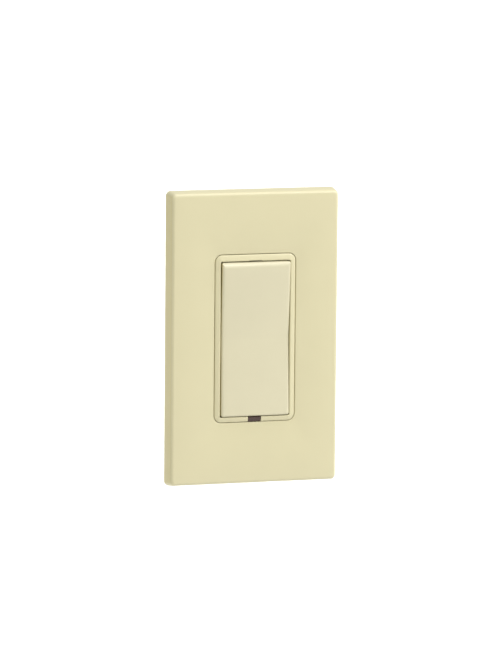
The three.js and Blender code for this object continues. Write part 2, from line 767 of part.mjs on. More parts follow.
// The housing screws point forwards, so they are turned over.
const housingScrew = screwBody({
  headRadius: 2.5,
  headHeight: 1.3,
  length: 27.5,
  shankRadius: 1.3,
  cross: true,
});
atCorners(BOSS_X, BOSS_Y, (x, y) => {
  const name = `housing_screw_${y > 0 ? 'top' : 'bottom'}_${x > 0 ? 'right' : 'left'}`;
  add(name, housingScrew, ZINC_STEEL, x, y, HOUSING_BACK + 1.4);
  device.children.at(-1).rotation.x = Math.PI;
});

const statusLed = block(3.0, LED_HEIGHT, LOGIC_FRONT + GAP, -1.6);
add('status_led', statusLed, WHITE, 0, (LED_HEIGHT - BOARD_HEIGHT) / 2);
const logicBack = LOGIC_FRONT - BOARD_THICKNESS - GAP;
add('microcontroller', block(9, 9, logicBack - 1.2, logicBack), BLACK, 6.5, 12);
add('board_connector', boardConnector(), BLACK, 0, -26);
add('electrolytic_capacitor', electrolyticCapacitor(), BLACK, 7.9, 22.4, POWER_TOP);
const filmCapacitor = roundedSlab(roundedOutline(8.5, 13, 0.8), 0, 11, 0.6);
add('film_capacitor', filmCapacitor, CAPACITOR_YELLOW, 7.5, 10.5, POWER_TOP);
add('transformer_winding', transformerWinding(), COPPER, 7.1, -6.3, POWER_TOP);
add('transformer_core', transformerCore(), FERRITE, 7.1, -6.3, POWER_TOP);
add('varistor', uprightRod(4.6, -1.8, 1.8, 0, 5.0), VARISTOR_BLUE, -5.5, -12.5, POWER_TOP);
add('fuse_resistor', crossRod(1.7, -4.5, 4.5, 0, 2.1), WHITE, -5, -18.5, POWER_TOP);

device.add(relay());
for (const terminalPlace of TERMINALS) {
  device.add(terminal(terminalPlace));
}

device.rotation.x = Math.PI / 2;
const group = new THREE.Group();
group.add(device);

export default group;
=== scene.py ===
"""A rocker wall switch in a screwless plate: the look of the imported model.

Shapes are drawn in the face frame, in millimetres: x to the right, y up and z out of the
wall, with z = 0 on the wall's surface. row() turns that into the row frame, in metres.
"""
import json
import math

import bmesh
import bpy
from mathutils import Matrix, Vector


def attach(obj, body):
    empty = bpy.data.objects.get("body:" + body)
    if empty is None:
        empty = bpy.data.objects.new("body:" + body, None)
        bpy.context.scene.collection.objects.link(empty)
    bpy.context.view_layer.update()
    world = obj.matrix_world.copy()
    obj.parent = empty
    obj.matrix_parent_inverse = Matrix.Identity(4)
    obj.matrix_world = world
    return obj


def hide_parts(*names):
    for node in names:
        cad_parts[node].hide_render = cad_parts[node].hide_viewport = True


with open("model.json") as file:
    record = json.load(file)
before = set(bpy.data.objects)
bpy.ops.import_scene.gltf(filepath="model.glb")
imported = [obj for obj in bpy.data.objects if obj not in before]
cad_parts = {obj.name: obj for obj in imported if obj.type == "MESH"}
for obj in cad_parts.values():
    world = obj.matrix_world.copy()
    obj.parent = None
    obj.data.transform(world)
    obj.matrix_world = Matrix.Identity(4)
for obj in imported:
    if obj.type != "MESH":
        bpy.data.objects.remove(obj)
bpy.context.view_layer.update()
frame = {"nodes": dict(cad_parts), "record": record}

MM = 0.001
QUARTER = math.radians(90)
NODES = frame["nodes"]
CORNERS = ((-1, -1), (-1, 1), (1, -1), (1, 1))

# ---------------------------------------------------------------- sizes shared with the CAD

PLATE_W, PLATE_H, PLATE_D = 69.85, 116.3, 6.7
PLATE_TAPER, PLATE_CORNER, PLATE_WALL = 0.9, 2.0, 1.6
INSIDE_W, INSIDE_H = PLATE_W - 2 * PLATE_WALL, PLATE_H - 2 * PLATE_WALL
GAP = 0.3
FRAME_W, FRAME_H, FRAME_CORNER = 32.9, 65.9, 2.8
RAIL_SIDE, RAIL_TOP, RAIL_BOTTOM = 2.15, 2.55, 1.95
FRAME_BACK, FRAME_FRONT = 1.8, 7.2
OPENING_CORNER = 0.5
WINDOW_W, WINDOW_H = FRAME_W + 2 * GAP, FRAME_H + 2 * GAP
OPENING_Y = (RAIL_BOTTOM - RAIL_TOP) / 2
SHADOW_GAP = 0.25
ROCKER_SHIFT = 0.2  # the rocker sits a little to the right in its opening
ROCKER_W = FRAME_W - 2 * RAIL_SIDE - 2 * SHADOW_GAP
ROCKER_H = FRAME_H - RAIL_TOP - RAIL_BOTTOM - 2 * SHADOW_GAP
ROCKER_BACK, ROCKER_MIDDLE, ROCKER_TOP, ROCKER_BOTTOM = 3.2, 6.7, 8.3, 7.6
LENS_W, LENS_FLOOR = 5.3, 3.0
STEM_RADIUS = 0.4
PIVOT_Z, PIN_RADIUS, PIN_REACH = 4.2, 0.9, 15.9
BOTTOM_RAIL_Y = (RAIL_BOTTOM - FRAME_H) / 2
PLUNGER_ARM = 12  # of the push switches and the rocker's posts, from the pivot
HOOK_X, HOOK_Y = 15.2, 22
STRAP_BACK, STRAP_FRONT = 0.2, 1.5
EAR_Y, EAR_WING, PAD_X = 48.8, 36, 8.2
BOX_SCREW_Y, PLATE_SCREW_Y = 41.65, 48.4
GROUND_X, GROUND_Y = 8.5, -38.5
SUB_FRONT, SUB_FLOOR = 3.4, 1.8
GRIP_X, GRIP_Y = 20, 38
HOUSING_W, HOUSING_H, HOUSING_BACK, HOUSING_WALL = 44.0, 68.4, -28.0, 1.6
BOSS_X, BOSS_Y = 18.2, 31.0
TERMINAL_Z = -16
TERMINALS = (("line", -1, 17), ("load", -1, -17), ("neutral", 1, 17))
LOGIC_BACK, LOGIC_FRONT = -4.6, -3.0
POWER_BACK, POWER_FRONT = -23.6, -22.0
POWER_TOP = -21.7  # where the parts on the power board stand
BOARD_H, LOGIC_W, POWER_W = 64.6, 40.2, 31.6


def row(x, y, z):
    """A point of the face frame in the row frame."""
    return Vector((x * MM, -z * MM, y * MM))


# ---------------------------------------------------------------- camera, light and floor

AZIMUTH, ELEVATION, ROLL = math.radians(-18.60), math.radians(7.65), math.radians(0.509)
DISTANCE = 2.0
TARGET = Vector((0.00022, 0.00006, 0.00090))
LENS_MM, FILM_MM = 274.9, 36.0

SKY, SKY_STRENGTH = (1.0, 0.99, 0.955, 1.0), 0.58
FLOOR_HALF, FLOOR_HEIGHT = 12.0, -0.30
ORIGIN = (0, 0, 0)


def aim(obj, target):
    obj.rotation_euler = (Vector(target) - obj.location).to_track_quat("-Z", "Y").to_euler()


def build_camera():
    back = Vector((
        math.sin(AZIMUTH) * math.cos(ELEVATION),
        -math.cos(AZIMUTH) * math.cos(ELEVATION),
        math.sin(ELEVATION),
    ))
    right = Vector((0, 0, 1)).cross(back).normalized()
    up = back.cross(right)
    across = math.cos(ROLL) * right + math.sin(ROLL) * up
    upward = back.cross(across)
    data = bpy.data.cameras.new("camera")
    data.lens = LENS_MM
    data.sensor_width = FILM_MM
    data.clip_end = 100
    camera = bpy.data.objects.new("camera", data)
    turn = Matrix((across, upward, back)).transposed().to_4x4()
    camera.matrix_world = Matrix.Translation(TARGET + DISTANCE * back) @ turn
    bpy.context.collection.objects.link(camera)
    bpy.context.scene.camera = camera


def build_lights():
    """Soft discs of light, with places and sizes in metres and powers in watts."""
    # name, place, what it is aimed at, size, power, tint, spread in degrees
    lamps = [
        ("key", (0.95, -0.95, 1.15), ORIGIN, 0.55, 21.6, (1.0, 0.985, 0.96), 180),
        ("fill", (-1.50, -0.70, 0.20), ORIGIN, 0.80, 3.8, (1.0, 0.95, 0.65), 180),
        ("rim", (1.60, -0.35, 0.55), ORIGIN, 0.50, 8.0, (1.0, 0.99, 0.97), 180),
        ("overhead", (0.10, -0.30, 1.60), ORIGIN, 0.70, 14.0, (1.0, 1.0, 1.0), 180),
        ("ground", (0.0, 4.6, 3.2), (0, 4.6, -0.3), 7.4, 150.0, (1.0, 1.0, 1.0), 30),
    ]
    for name, place, target, size, power, tint, spread in lamps:
        data = bpy.data.lights.new(name, "AREA")
        data.shape = "DISK"
        data.size = size
        data.energy = power
        data.color = tint
        data.spread = math.radians(spread)
        lamp = bpy.data.objects.new(name, data)
        lamp.location = place
        aim(lamp, target)
        bpy.context.collection.objects.link(lamp)


def build_world():
    world = bpy.data.worlds.new("studio")
    world.use_nodes = True
    background = world.node_tree.nodes["Background"]
    background.inputs["Color"].default_value = SKY
    background.inputs["Strength"].default_value = SKY_STRENGTH
    bpy.context.scene.world = world


def build_floor():
    mesh = bpy.data.meshes.new("floor")
    around = ((-1, -1), (1, -1), (1, 1), (-1, 1))
    corners = [(sx * FLOOR_HALF, sy * FLOOR_HALF, FLOOR_HEIGHT) for sx, sy in around]
    mesh.from_pydata(corners, [], [(0, 1, 2, 3)])
    floor = bpy.data.objects.new("floor", mesh)
    floor.data.materials.append(pale_floor())
    bpy.context.collection.objects.link(floor)


# ---------------------------------------------------------------- materials

def linear(channel):
    c = channel / 255
    return c / 12.92 if c <= 0.04045 else ((c + 0.055) / 1.055) ** 2.4


def colour(red, green, blue):
    """A screen colour, 0 to 255 in each channel, as a node's."""
    return (linear(red), linear(green), linear(blue), 1.0)


def scaled(rgba, factor):
    return tuple(min(1.0, c * factor) for c in rgba[:3]) + (1.0,)


# How squarely a surface faces left or right, where the painted shade starts and where it is full.
SIDE_SHADE_FACING = (0.85, 0.98)
# The Mix node's colour sockets, by number, because their names repeat.
MIX_FIRST, MIX_SECOND, MIX_RESULT = 6, 7, 2


class Shader:
    """A Principled material with the noise layers that give it colour, gloss and relief."""

    def __init__(self, name, base, rough, metal=0.0):
        self.material = bpy.data.materials.new(name)
        self.material.use_nodes = True
        self.tree = self.material.node_tree
        self.body = self.tree.nodes["Principled BSDF"]
        self.base = base
        self.rough = rough
        self.body.inputs["Base Color"].default_value = base
        self.body.inputs["Roughness"].default_value = rough
        self.body.inputs["Metallic"].default_value = metal
        self.coords = self.tree.nodes.new("ShaderNodeTexCoord").outputs["Object"]

    def node(self, kind, **settings):
        node = self.tree.nodes.new(kind)
        for key, value in settings.items():
            setattr(node, key, value)
        return node

    def link(self, source, target):
        self.tree.links.new(source, target)

    def noise(self, size_mm, detail=3.0, stretch=(1, 1, 1)):
        mapping = self.node("ShaderNodeMapping")
        mapping.inputs["Scale"].default_value = stretch
        self.link(self.coords, mapping.inputs["Vector"])
        noise = self.node("ShaderNodeTexNoise")
        noise.inputs["Scale"].default_value = 1 / (size_mm * MM)
        noise.inputs["Detail"].default_value = detail
        self.link(mapping.outputs["Vector"], noise.inputs["Vector"])
        return noise.outputs["Fac"]

    def ranged(self, source, start, end, low=0.0, high=1.0):
        """low to high, as the source goes from start to end."""
        ranged = self.node("ShaderNodeMapRange")
        ranged.inputs["From Min"].default_value = start
        ranged.inputs["From Max"].default_value = end
        ranged.inputs["To Min"].default_value = low
        ranged.inputs["To Max"].default_value = high
        self.link(source, ranged.inputs["Value"])
        return ranged.outputs["Result"]

    def spread(self, source, low, high):
        """Spreads a noise's usual values over low to high."""
        return self.ranged(source, 0.25, 0.75, low, high)

    def mix(self, factor, first, second):
        mix = self.node("ShaderNodeMix", data_type="RGBA")
        self.link(factor, mix.inputs["Factor"])
        for socket, value in ((mix.inputs[MIX_FIRST], first), (mix.inputs[MIX_SECOND], second)):
            if isinstance(value, tuple):
                socket.default_value = value
            else:
                self.link(value, socket)
        return mix.outputs[MIX_RESULT]

    def tint(self, size_mm, amount, stretch=(1, 1, 1)):
        """Lets the colour drift by amount either way."""
        drift = self.spread(self.noise(size_mm, stretch=stretch), 0.0, 1.0)
        mixed = self.mix(drift, scaled(self.base, 1 - amount), scaled(self.base, 1 + amount))
        self.link(mixed, self.body.inputs["Base Color"])
        return mixed

    def painted_side_shade(self, front, deepen):
        """Deepens the colour of surfaces that face left and right: painted shade for the shaded
        gaps and sides.

        front is the colour elsewhere, and deepen the factors for red, green and blue.
        """
        normal = self.node("ShaderNodeTexCoord").outputs["Normal"]
        split = self.node("ShaderNodeSeparateXYZ")
        self.link(normal, split.inputs["Vector"])
        size = self.node("ShaderNodeMath", operation="ABSOLUTE")
        self.link(split.outputs["X"], size.inputs[0])
        side_shade_mask = self.ranged(size.outputs["Value"], *SIDE_SHADE_FACING)
        # the painted shade colour: the base deepened by these factors
        wall = tuple(c * d for c, d in zip(self.base, deepen)) + (1.0,)
        self.link(self.mix(side_shade_mask, front, wall), self.body.inputs["Base Color"])

    def gloss(self, size_mm, amount, stretch=(1, 1, 1)):
        """Lets the roughness drift by amount either way."""
        noise = self.noise(size_mm, 4.0, stretch)
        rough = self.spread(noise, self.rough - amount, self.rough + amount)
        self.link(rough, self.body.inputs["Roughness"])

    def relief(self, *layers):
        """Bump of several sizes. Each layer is (source, height in mm)."""
        normal = None
        for source, height in layers:
            bump = self.node("ShaderNodeBump")
            bump.inputs["Strength"].default_value = 1.0
            bump.inputs["Distance"].default_value = height * MM
            self.link(source, bump.inputs["Height"])
            if normal is not None:
                self.link(normal, bump.inputs["Normal"])
            normal = bump.outputs["Normal"]
        self.link(normal, self.body.inputs["Normal"])


def moulded(name, rgb, rough, drift=0.012, grain=0.006, painted_side_shade=None):
    """Injection-moulded plastic: a fine spark-eroded grain, slow changes of gloss, and painted
    side shade if given.
    """
    shader = Shader(name, rgb, rough)
    front = shader.tint(14.0, drift)
    # painted shade on the surfaces that face left and right, for the shaded gaps and sides
    if painted_side_shade:
        shader.painted_side_shade(front, painted_side_shade)
    shader.gloss(5.0, 0.035)
    shader.relief((shader.noise(0.35, 2.0), grain), (shader.noise(22.0, 1.0), 0.05))
    shader.body.inputs["IOR"].default_value = 1.5
    return shader.material


def plated(name, rgb, rough=0.34, brushed=(1, 1, 12)):
    """Zinc-plated or bare metal, with drawing lines one way and faint stains."""
    shader = Shader(name, rgb, rough, metal=1.0)
    shader.tint(6.0, 0.10)
    shader.gloss(1.6, 0.10, stretch=brushed)
    shader.relief((shader.noise(0.5, 3.0, brushed), 0.006), (shader.noise(4.0, 2.0), 0.01))
    return shader.material


def pale_floor():
    shader = Shader("pale_floor", (0.93, 0.93, 0.93, 1.0), 0.9)
    shader.tint(60.0, 0.01)
    shader.relief((shader.noise(3.0), 0.02))
    return shader.material


def circuit_board():
    """Green solder mask over straight tracks, with tinned pads."""
    mask, track, pad = colour(24, 84, 52), colour(38, 108, 66), colour(196, 196, 190)
    shader = Shader("circuit_board", mask, 0.32)
    brick = shader.node("ShaderNodeTexBrick")
    brick.inputs["Scale"].default_value = 1 / (9.0 * MM)
    brick.inputs["Mortar Size"].default_value = 0.035
    brick.inputs["Color1"].default_value = mask
    brick.inputs["Color2"].default_value = scaled(mask, 1.12)
    brick.inputs["Mortar"].default_value = track
    flat = shader.node("ShaderNodeMapping")
    flat.inputs["Rotation"].default_value = (QUARTER, 0, 0)
    shader.link(shader.coords, flat.inputs["Vector"])
    shader.link(flat.outputs["Vector"], brick.inputs["Vector"])
    dots = shader.node("ShaderNodeTexVoronoi")
    dots.inputs["Scale"].default_value = 1 / (3.4 * MM)
    dots.inputs["Randomness"].default_value = 0.6
    shader.link(shader.coords, dots.inputs["Vector"])
    near = shader.node("ShaderNodeMath", operation="LESS_THAN")
    near.inputs[1].default_value = 0.16
    shader.link(dots.outputs["Distance"], near.inputs[0])
    mixed = shader.mix(near.outputs["Value"], brick.outputs["Color"], pad)
    shader.link(mixed, shader.body.inputs["Base Color"])
    shader.gloss(3.0, 0.05)
    shader.relief((brick.outputs["Fac"], 0.03), (near.outputs["Value"], 0.04))
    return shader.material


def winding():
    """Enamelled wire: fine turns side by side round the coil."""
    shader = Shader("winding", colour(158, 74, 36), 0.28, metal=0.85)
    wave = shader.node("ShaderNodeTexWave", bands_direction="Z")
    wave.inputs["Scale"].default_value = 1 / (0.9 * MM)
    wave.inputs["Distortion"].default_value = 0.4
    shader.link(shader.coords, wave.inputs["Vector"])
    mixed = shader.mix(wave.outputs["Fac"], scaled(shader.base, 0.45), scaled(shader.base, 1.15))
    shader.link(mixed, shader.body.inputs["Base Color"])
    shader.gloss(2.0, 0.06)
    shader.relief((wave.outputs["Fac"], 0.08))
    return shader.material


def smoked():
    shader = Shader("smoked_lens", colour(66, 46, 40), 0.2)
    shader.tint(1.2, 0.08)
    shader.gloss(2.0, 0.03)
    shader.relief((shader.noise(0.6), 0.003))
    shader.body.inputs["Transmission Weight"].default_value = 0.15
    shader.body.inputs["IOR"].default_value = 1.45
    return shader.material


def fibre():
    shader = Shader("fibre", colour(150, 46, 34), 0.75)
    shader.tint(0.8, 0.15, stretch=(1, 1, 3))
    shader.gloss(1.0, 0.08)
    shader.relief((shader.noise(0.25, 4.0), 0.02))
    return shader.material


def ferrite():
    shader = Shader("ferrite", colour(62, 62, 64), 0.55)
    shader.tint(0.6, 0.16)
    shader.gloss(1.0, 0.1)
    shader.relief((shader.noise(0.3, 4.0), 0.015))
    return shader.material


# Base colours, and the factors of the painted shade on surfaces facing left and right.
IVORY, IVORY_SIDE_SHADE = (0.51, 0.475, 0.31, 1.0), (1.0, 0.97, 0.80)
ROCKER_IVORY, ROCKER_SIDE_SHADE = (0.505, 0.475, 0.34, 1.0), (1.0, 0.93, 0.62)

# Named as the record names its material slots.
MATERIALS = {
    "ivory_plastic": moulded("ivory_plastic", IVORY, 0.38, painted_side_shade=IVORY_SIDE_SHADE),
    "rocker_plastic": moulded("rocker_plastic", ROCKER_IVORY, 0.36, painted_side_shade=ROCKER_SIDE_SHADE),
    "sub_plate_plastic": moulded("sub_plate_plastic", colour(214, 206, 172), 0.5),
    "housing_plastic": moulded("housing_plastic", colour(74, 75, 78), 0.46, 0.05, 0.012),
    "black_plastic": moulded("black_plastic", colour(30, 30, 32), 0.42, 0.05, 0.01),
    "white_plastic": moulded("white_plastic", colour(226, 226, 220), 0.4),
    "relay_plastic": moulded("relay_plastic", colour(44, 84, 140), 0.35, 0.03),
    "capacitor_sleeve": moulded("capacitor_sleeve", colour(40, 44, 60), 0.3, 0.04),
    "film_capacitor_resin": moulded("film_capacitor_resin", colour(206, 160, 52), 0.35, 0.03),
    "varistor_resin": moulded("varistor_resin", colour(46, 82, 140), 0.35, 0.05),
    "zinc_steel": plated("zinc_steel", colour(196, 196, 192)),
    "brass": plated("brass", colour(206, 168, 92), 0.3),
    "iron": plated("iron", colour(150, 148, 146), 0.42),
    "green_screw": plated("green_screw", colour(52, 128, 66), 0.3),
    "smoked_lens": smoked(),
    "fibre": fibre(),
    "board": circuit_board(),
    "copper_winding": winding(),
    "ferrite": ferrite(),
}
SLOTS = {part["node"]: part["material_slot"] for part in frame["record"]["subparts"]}
BODY = {
    node: body
    for body, names in frame["record"]["behaviour"]["bodies"].items()
    for node in names
}


# ---------------------------------------------------------------- mesh tools

def outline(width, height, radius, steps=8, rise=0.0):
    """A rounded rectangle's points, anticlockwise, steps + 1 of them in each corner."""
    radius = max(min(radius, width / 2 - 0.01, height / 2 - 0.01), 0.02)
    points = []
    for corner, (sx, sy) in enumerate(((1, 1), (-1, 1), (-1, -1), (1, -1))):
        for step in range(steps + 1):
            angle = QUARTER * (corner + step / steps)
            points.append((
                sx * (width / 2 - radius) + radius * math.cos(angle),
                sy * (height / 2 - radius) + radius * math.sin(angle) + rise,
            ))
    return points


def circle(radius, steps=32):
    """A circle's points, anticlockwise."""
    return [
        (radius * math.cos(math.tau * k / steps), radius * math.sin(math.tau * k / steps))
        for k in range(steps)
    ]


def arc(steps=6):
    """Angles of a quarter turn, in radians."""
    return [QUARTER * k / steps for k in range(steps + 1)]


def at(x, y, z, turn=None):
    """A place in the face frame. turn is (degrees, axis), or none."""
    spin = Matrix.Rotation(math.radians(turn[0]), 4, turn[1]) if turn else Matrix.Identity(4)
    return Matrix.Translation((x, y, z)) @ spin


class Build:
    """Closed shells in one mesh, in the face frame, in mm. place moves what is added next."""

    def __init__(self):
        self.points = []
        self.faces = []
        self.place = Matrix.Identity(4)

    def ring(self, points):
        """Adds a ring of points, and gives their numbers."""
        start = len(self.points)
        self.points += [self.place @ Vector(p) for p in points]
        return list(range(start, len(self.points)))

    def band(self, low, high):
        """Joins two rings of as many points with a band of faces."""
        count = len(low)
        for k in range(count):
            n = (k + 1) % count
            self.faces.append((low[k], low[n], high[n], high[k]))

    def flat(self, ring, front=True):
        """Closes a ring with one face, towards the front or the back."""
        self.faces.append(tuple(ring) if front else tuple(reversed(ring)))

    def stack(self, rings, closed=False):
        """Joins rings in turn, and then the last to the first or a face on each end."""
        for low, high in zip(rings, rings[1:]):
            self.band(low, high)
        if closed:
            self.band(rings[-1], rings[0])
        else:
            self.flat(rings[0], front=False)
            self.flat(rings[-1])

    def loft(self, levels, closed=False):
        """levels is a list of (outline points, z), from back to front on the outside."""
        self.stack([self.ring([(x, y, z) for x, y in points]) for points, z in levels], closed)

    def prism(self, points, back, front, x=0.0, y=0.0):
        """An outline drawn out from z = back to z = front, moved by x and y."""
        moved = [(px + x, py + y) for px, py in points]
        self.loft([(moved, back), (moved, front)])

    def block(self, width, height, back, front, x=0.0, y=0.0, edge=0.2, corner=None):
        """A rounded block between z = back and z = front."""
        edge = min(edge, width / 2.2, height / 2.2, (front - back) / 2.2)
        corner = edge if corner is None else corner
        levels = []
        for z, side in ((back, -1), (front, 1)):
            for step in range(4):
                angle = math.radians(30 * step)
                if side < 0:
                    angle = QUARTER - angle
                inset = edge * (1 - math.cos(angle))
                depth = z - side * edge * (1 - math.sin(angle))
                radius = max(corner - inset, 0.03)
                points = outline(width - 2 * inset, height - 2 * inset, radius, 4)
                levels.append(([(px + x, py + y) for px, py in points], depth))
        self.loft(levels)

    def turn(self, profile, steps=32, x=0.0, y=0.0):
        """A body turned about the z axis from (radius, z) pairs, from its back to its front."""
        self.loft([
            ([(px + x, py + y) for px, py in circle(max(radius, 0.01), steps)], z)
            for radius, z in profile
        ])


def object_from(name, build):
    """Turns a build into an object."""
    mesh = bpy.data.meshes.new(name)
    mesh.from_pydata([row(*p) for p in build.points], [], build.faces)
    obj = bpy.data.objects.new(name, mesh)
    bpy.context.collection.objects.link(obj)
    return obj


def slab(points, back, front, x=0.0, y=0.0):
    """A build with one prism in it."""
    build = Build()
    build.prism(points, back, front, x, y)
    return build


SMOOTH_ANGLE = math.radians(32)


def tidy(obj):
    """Merges doubles, turns every shell outwards and smooths all but the sharp edges."""
    mesh = bmesh.new()
    mesh.from_mesh(obj.data)
    bmesh.ops.remove_doubles(mesh, verts=mesh.verts, dist=2e-7)
    bmesh.ops.dissolve_degenerate(mesh, edges=mesh.edges, dist=1e-7)
    bmesh.ops.recalc_face_normals(mesh, faces=mesh.faces)
    for face in mesh.faces:
        face.smooth = True
    for edge in mesh.edges:
        edge.smooth = len(edge.link_faces) == 2 and edge.calc_face_angle(0) < SMOOTH_ANGLE
    mesh.to_mesh(obj.data)
    mesh.free()


def apply_modifier(obj):
    """Keeps what an object's one modifier makes of it as the object's mesh."""
    graph = bpy.context.evaluated_depsgraph_get()
    result = bpy.data.meshes.new_from_object(obj.evaluated_get(graph))
    obj.modifiers.clear()
    obj.data = result


def combine(obj, build, operation):
    """Cuts a build's shells out of an object, or joins them to it."""
    tool = object_from("tool", build)
    tidy(tool)
    modifier = obj.modifiers.new("combine", "BOOLEAN")
    modifier.operation = operation
    modifier.solver = "EXACT"
    modifier.use_self = True
    modifier.object = tool
    apply_modifier(obj)
    bpy.data.objects.remove(tool)
    tidy(obj)


def carve(obj, build):
    combine(obj, build, "DIFFERENCE")


def unite(obj, build):
    combine(obj, build, "UNION")


def eased(obj, width):
    """Rounds an object's sharp edges by a bevel of a width in mm."""
    modifier = obj.modifiers.new("ease", "BEVEL")
    modifier.width = width * MM
    modifier.segments = 2
    modifier.limit_method = "ANGLE"
    modifier.angle_limit = math.radians(40)
    modifier.use_clamp_overlap = True
    apply_modifier(obj)
    tidy(obj)


def piece(name, build, node, cuts=None, material=None):
    """Makes a build into a piece that stands for a CAD node."""
    obj = object_from(name, build)
    tidy(obj)
    if cuts is not None:
        carve(obj, cuts)
    finish_piece(obj, node, material)


def finish_piece(obj, node, material=None):
    """Gives a piece its material and ties it to the body of the node that it stands for."""
    slot = material or SLOTS[node]
    obj.data.materials.clear()
    obj.data.materials.append(MATERIALS[slot])
    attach(obj, BODY[node])
    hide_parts(node)


def refined(name, node, width):
    """A copy of a CAD node's shape with its edges rounded, to stand for the node."""
    obj = bpy.data.objects.new(name, NODES[node].data.copy())
    bpy.context.collection.objects.link(obj)
    tidy(obj)
    mesh = bmesh.new()
    mesh.from_mesh(obj.data)
    bmesh.ops.dissolve_limit(
        mesh, angle_limit=math.radians(1), verts=mesh.verts, edges=mesh.edges,
    )
    mesh.to_mesh(obj.data)
    mesh.free()
    eased(obj, width)
    finish_piece(obj, node)


# ---------------------------------------------------------------- cover plate

COVER_EDGE, COVER_LIP, COVER_REACH = 1.4, 0.45, 0.1


def cover_plate():
    """A shell open to the wall, with a rounded front edge and the frame's window."""
    def outer(inset):
        return outline(PLATE_W - 2 * inset, PLATE_H - 2 * inset, PLATE_CORNER - 0.4 * inset)

    def window(grow, radius):
        return outline(WINDOW_W + 2 * grow, WINDOW_H + 2 * grow, radius)

    def inside(grow, radius):
        return outline(INSIDE_W + grow, INSIDE_H + grow, radius)

    def drawn(z):
        """How far the side has drawn in at z."""
        return PLATE_TAPER * (z / PLATE_D) ** 1.25

    shoulder, ceiling = PLATE_D - COVER_EDGE, PLATE_D - PLATE_WALL
    levels = [(outer(0.15), 0.0)]
    levels += [(outer(drawn(z)), z) for z in (0.15, 1.2, 2.2, 3.2, 4.2, 5.0, shoulder)]
    for angle in arc(8)[1:]:
        inset = drawn(shoulder) + COVER_EDGE * (1 - math.cos(angle))
        levels.append((outer(inset), shoulder + COVER_EDGE * math.sin(angle)))
    # the front runs in to the window, whose edge is eased
    for angle in arc(4):
        grow = COVER_LIP * (1 - math.sin(angle)) - COVER_REACH
        points = window(grow, FRAME_CORNER + GAP + grow)
        levels.append((points, PLATE_D - COVER_LIP + COVER_LIP * math.cos(angle)))
    levels += [
        (window(-COVER_REACH, FRAME_CORNER + GAP), ceiling),
        (inside(-1.6, 0.8), ceiling), (inside(0, 0.8), 0.15), (inside(0.3, 0.9), 0.0),
    ]
    build = Build()
    build.loft(levels, closed=True)
    # two lugs near each corner snap into the sub-plate's notches
    for sx, sy in CORNERS:
        x, y = sx * (INSIDE_W / 2 - 0.2), sy * (INSIDE_H / 2 - 0.2)
        build.block(8.0, 1.6, 0.8, ceiling + 0.5, sx * GRIP_X, y, 0.3)
        build.block(1.6, 8.0, 0.8, ceiling + 0.5, x, sy * GRIP_Y, 0.3)
    piece("cover_plate_shell", build, "cover_plate")


# ---------------------------------------------------------------- front frame and lens

# The rail's front in section: the share of its width from its outer edge, and the height.
RAIL_SECTION = [
    (0.00, 6.40), (0.02, 6.58), (0.06, 6.70), (0.13, 6.80),
    (0.40, 6.94), (0.66, 7.09), (0.80, 7.16), (0.88, 7.16),
    (0.94, 7.10), (0.98, 7.00), (1.00, 6.84),
]


def rail_outline(share, out=0.0):
    """The rail's outline at a share of its width in from its outer edge."""
    return outline(
        FRAME_W - 2 * RAIL_SIDE * share + 2 * out,
        FRAME_H - (RAIL_TOP + RAIL_BOTTOM) * share + 2 * out,
        FRAME_CORNER + (OPENING_CORNER - FRAME_CORNER) * share,
        rise=OPENING_Y * share,
    )


def front_frame():
    """The rail round the rocker, with two hooks on each side that reach behind the strap."""
    levels = [(rail_outline(0, -0.1), FRAME_BACK), (rail_outline(0, 0.05), FRAME_BACK + 0.15)]
    levels += [(rail_outline(share, 0.05 * (1 - share)), z) for share, z in RAIL_SECTION]
    levels += [(rail_outline(1), FRAME_BACK + 0.15), (rail_outline(1, 0.1), FRAME_BACK)]
    build = Build()
    build.loft(levels, closed=True)
    for sx, sy in CORNERS:
        x, y = sx * HOOK_X, sy * HOOK_Y
        build.block(1.2, 4.4, -1.5, FRAME_BACK + 1, x, y, 0.15)
        build.block(1.8, 4.3, -1.45, -0.1, x + sx * 0.6, y, 0.3)
    # the top notch, the lens's pocket, the hole for its stem and the holes for the rocker's pins
    cuts, above = Build(), FRAME_FRONT + 2
    cuts.block(5.4, 0.5, LENS_FLOOR, above, 0, FRAME_H / 2 - RAIL_TOP, 0.15)
    cuts.block(LENS_W + 0.16, 2 * RAIL_BOTTOM + 1, LENS_FLOOR, above, 0, BOTTOM_RAIL_Y, 0.02)
    bore = STEM_RADIUS + 0.25
    cuts.turn([(bore, 0), (bore, LENS_FLOOR + 1)], 20, 0, BOTTOM_RAIL_Y)
    cuts.place = at(0, 0, PIVOT_Z, (90, "Y"))
    for side in (-1, 1):
        cuts.turn([(PIN_RADIUS + GAP, side * 14), (PIN_RADIUS + GAP, side * 18)], 24)
    piece("front_frame_bezel", build, "front_frame", cuts)


def status_lens():
    """The lens fills the bottom rail's width, with the rail's own section."""
    floor = LENS_FLOOR + GAP
    section = [(share * RAIL_BOTTOM, z - 0.03) for share, z in RAIL_SECTION]
    section = [(0.03, floor)] + section + [(RAIL_BOTTOM - 0.03, floor)]
    middle, half = RAIL_BOTTOM / 2, LENS_W / 2
    build = Build()
    rings = []
    # x, how far the section shrinks to its middle there, and how far it sinks
    for x, shrink, sink in (
        (-half, 0.12, 0.09), (-half + 0.1, 0.03, 0.0), (half - 0.1, 0.03, 0.0), (half, 0.12, 0.09),
    ):
        points = []
        for inset, z in section:
            across = inset + (middle - inset) * shrink
            across = min(max(across, 0.04), RAIL_BOTTOM - 0.04)
            points.append((x, across - FRAME_H / 2, z - sink))
        rings.append(build.ring(points))
    build.stack(rings)
    stem = Build()
    stem.turn([
        (STEM_RADIUS - 0.1, -1.2), (STEM_RADIUS, -1.1), (STEM_RADIUS, LENS_FLOOR + 1),
    ], 16, 0, BOTTOM_RAIL_Y)
    lens = object_from("status_lens_window", build)
    tidy(lens)
    unite(lens, stem)
    finish_piece(lens, "status_lens")


# ---------------------------------------------------------------- rocker

